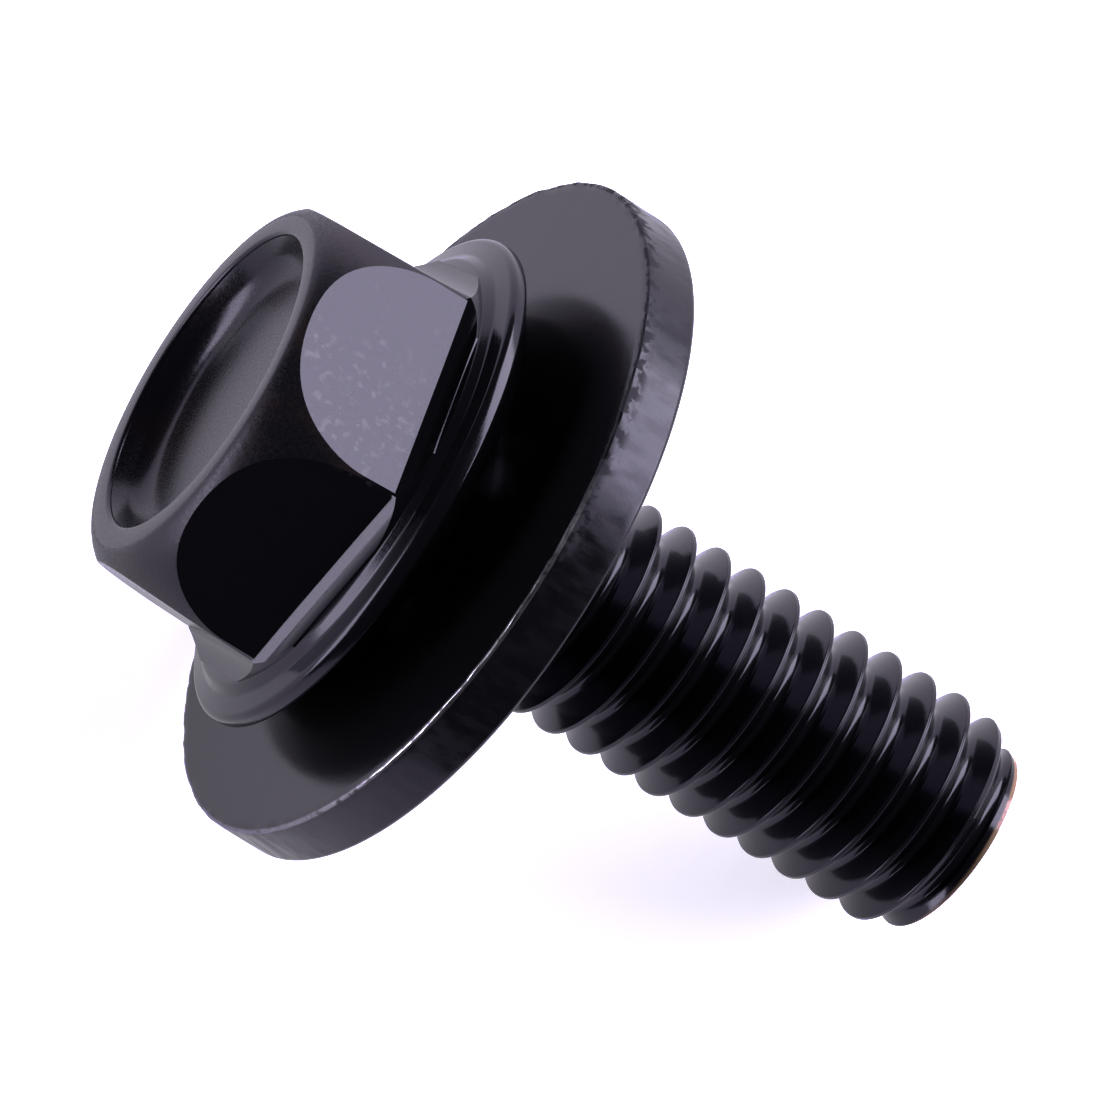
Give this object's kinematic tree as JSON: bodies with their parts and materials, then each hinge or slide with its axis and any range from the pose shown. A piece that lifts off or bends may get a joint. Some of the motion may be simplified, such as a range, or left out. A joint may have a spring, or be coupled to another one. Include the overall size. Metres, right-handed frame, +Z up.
{
  "type": "body bolt",
  "caption": "Short black bolt with a dished hexagon head, a round collar and a loose captive washer, for fastening sheet-metal body panels.",
  "frame": {"origin": "on the surface the bolt lies on, below the middle of its length", "axes": "+Z up from that surface; the bolt lies along X with its head raised towards -X; Y is across, and both the bolt's axis and the washer's axis lie in the XZ plane"},
  "size_m": [0.0228, 0.0174, 0.0161],
  "materials": {
    "black_coat": "glossy black coat over cold-formed steel",
    "washer_coat": "glossy black coat over stamped steel, worn at the sheared edge"
  },
  "bodies": {
    "bolt": {"bolt": "black_coat"},
    "washer": {"washer": "washer_coat"}
  },
  "joints": [
    {"name": "washer_spin", "type": "hinge", "parent": "bolt", "child": "washer", "pos_m": [-0.00356, 0, 0.00806], "axis": [-0.8893, 0, 0.4573], "continuous": true}
  ]
}
